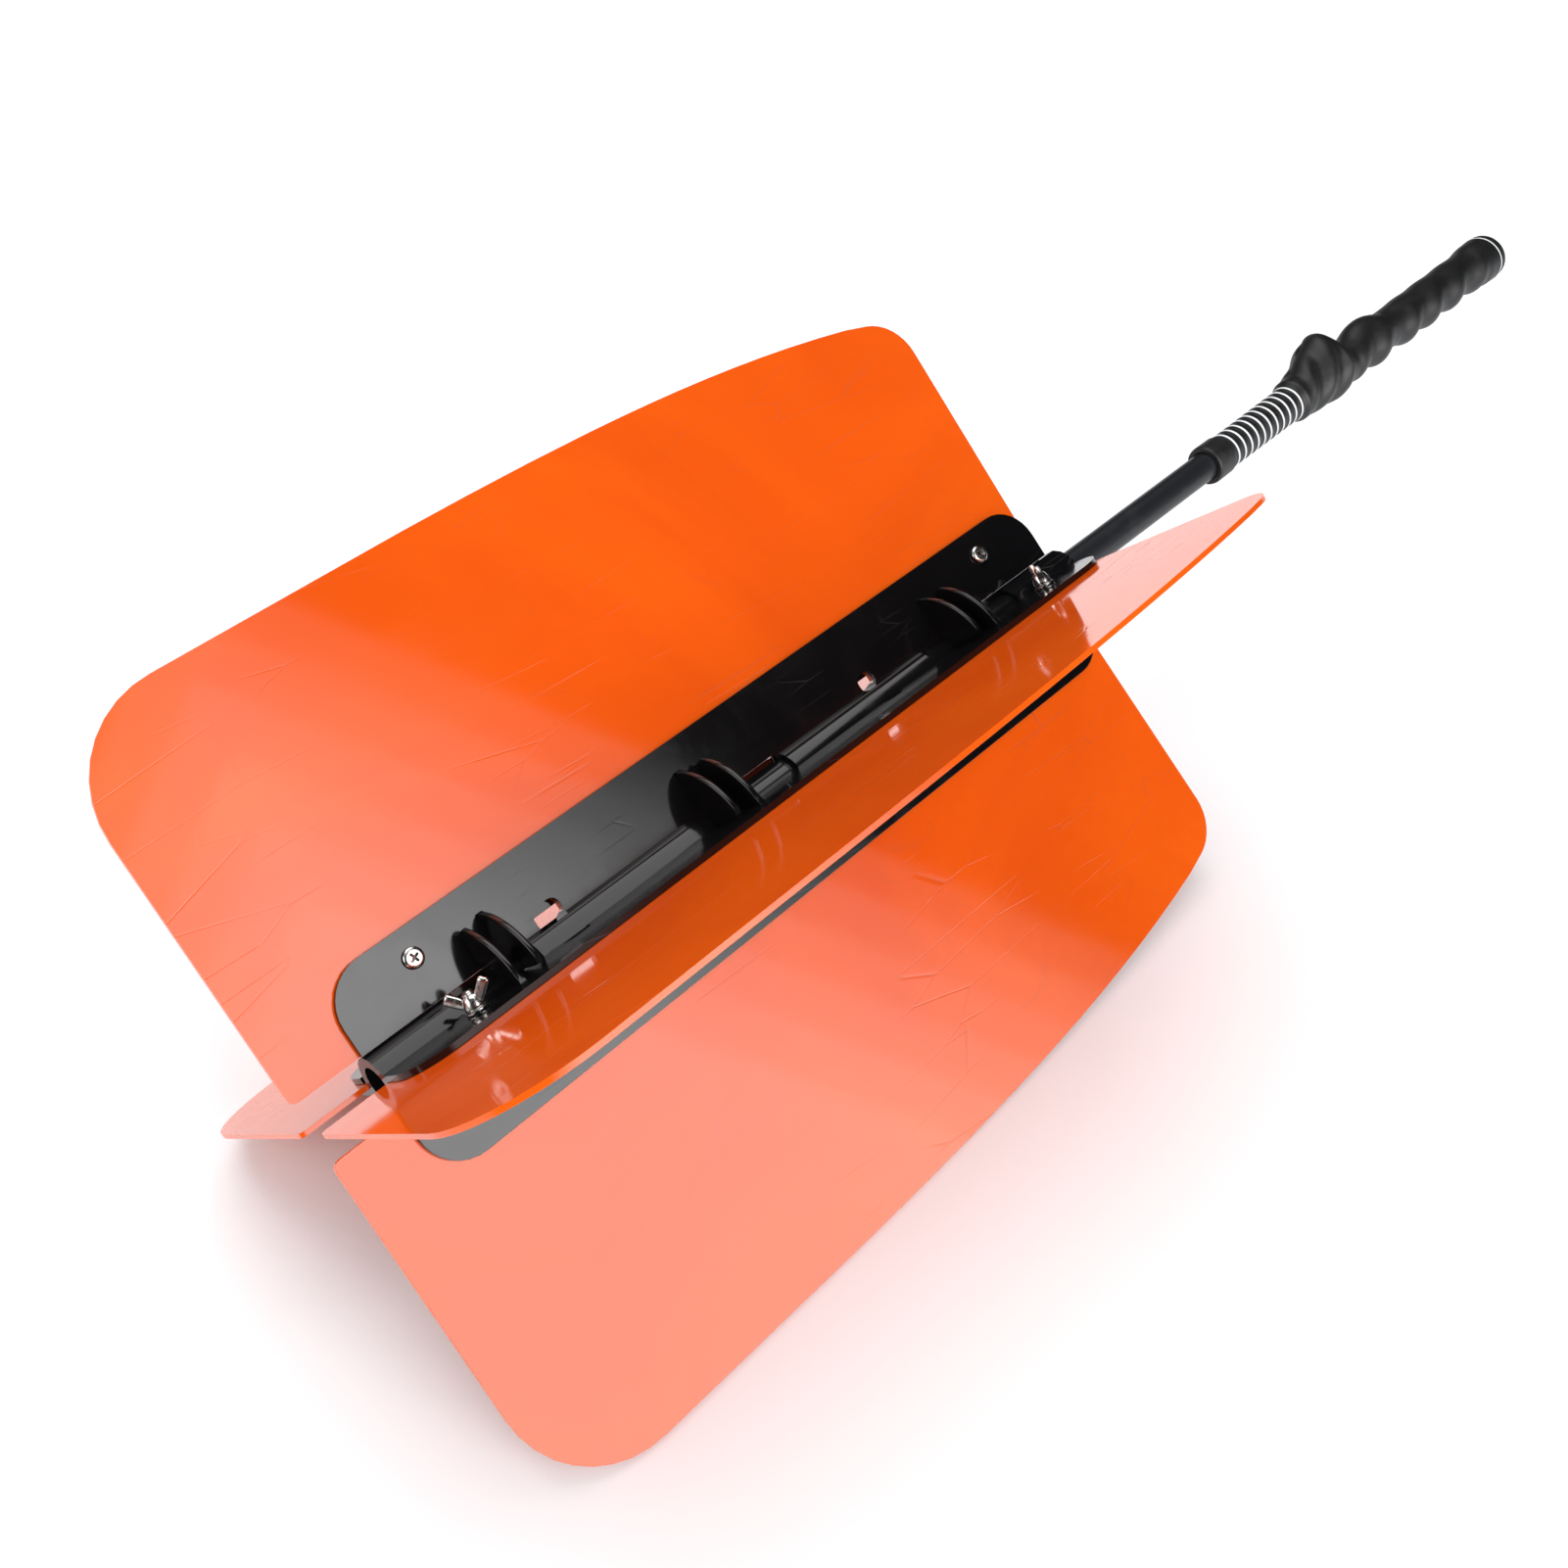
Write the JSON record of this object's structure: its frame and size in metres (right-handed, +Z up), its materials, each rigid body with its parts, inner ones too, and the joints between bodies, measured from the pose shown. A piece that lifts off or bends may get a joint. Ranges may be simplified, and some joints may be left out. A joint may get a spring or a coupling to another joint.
{
  "type": "golf swing resistance fan",
  "caption": "Golf swing resistance fan: orange cross vanes on a folding black hub round a shaft with a moulded finger grip, locked by wing nuts.",
  "frame": {"origin": "on the ground under the middle of the whole length, with the two lower vanes' edges resting on the ground plane", "axes": "+X along the shaft towards the grip's butt, +Z up between the two upper vanes, +Y to the side of the turning upper vane"},
  "size_m": [0.8178, 0.2368, 0.2268],
  "materials": {
    "vane_orange": "glossy moulded orange sheet",
    "hub_black": "glossy black moulded plastic with light scratches",
    "shaft_graphite": "satin dark grey coated steel tube",
    "grip_rubber": "matt black moulded rubber",
    "bright_plate": "bright nickel plated steel"
  },
  "bodies": {
    "fixed_half": {"fixed_upper_vane": "vane_orange", "fixed_upper_backing": "hub_black", "fixed_upper_screw_free_end": "bright_plate", "fixed_upper_screw_grip_end": "bright_plate", "fixed_lower_vane": "vane_orange", "fixed_lower_backing": "hub_black", "fixed_lower_screw_free_end": "bright_plate", "fixed_lower_screw_grip_end": "bright_plate", "fixed_hub": "hub_black", "shaft_tube": "shaft_graphite", "shaft_plug": "hub_black", "grip_body": "grip_rubber", "grip_cap": "grip_rubber", "clamp_bolt_free_end": "bright_plate", "flat_washer_free_end": "bright_plate", "clamp_bolt_grip_end": "bright_plate", "flat_washer_grip_end": "bright_plate"},
    "turning_half": {"turning_hub": "hub_black", "turning_upper_vane": "vane_orange", "turning_upper_backing": "hub_black", "turning_upper_screw_free_end": "bright_plate", "turning_upper_screw_grip_end": "bright_plate", "turning_lower_vane": "vane_orange", "turning_lower_backing": "hub_black", "turning_lower_screw_free_end": "bright_plate", "turning_lower_screw_grip_end": "bright_plate"},
    "wing_nut_free_end": {"wing_nut_free_end": "bright_plate"},
    "wing_nut_grip_end": {"wing_nut_grip_end": "bright_plate"}
  },
  "joints": [
    {"name": "vane_fold", "type": "hinge", "parent": "fixed_half", "child": "turning_half", "pos_m": [-0.2089, 0, 0.1134], "axis": [1, 0, 0], "range_deg": [-55.5, 2.5]},
    {"name": "free_end_nut_turn", "type": "hinge", "parent": "fixed_half", "child": "wing_nut_free_end", "pos_m": [-0.3429, -0.01135, 0.13119], "axis": [0, 0.6915, 0.7224], "continuous": true},
    {"name": "grip_end_nut_turn", "type": "hinge", "parent": "fixed_half", "child": "wing_nut_grip_end", "pos_m": [-0.0219, -0.01135, 0.13119], "axis": [0, 0.6915, 0.7224], "continuous": true}
  ]
}
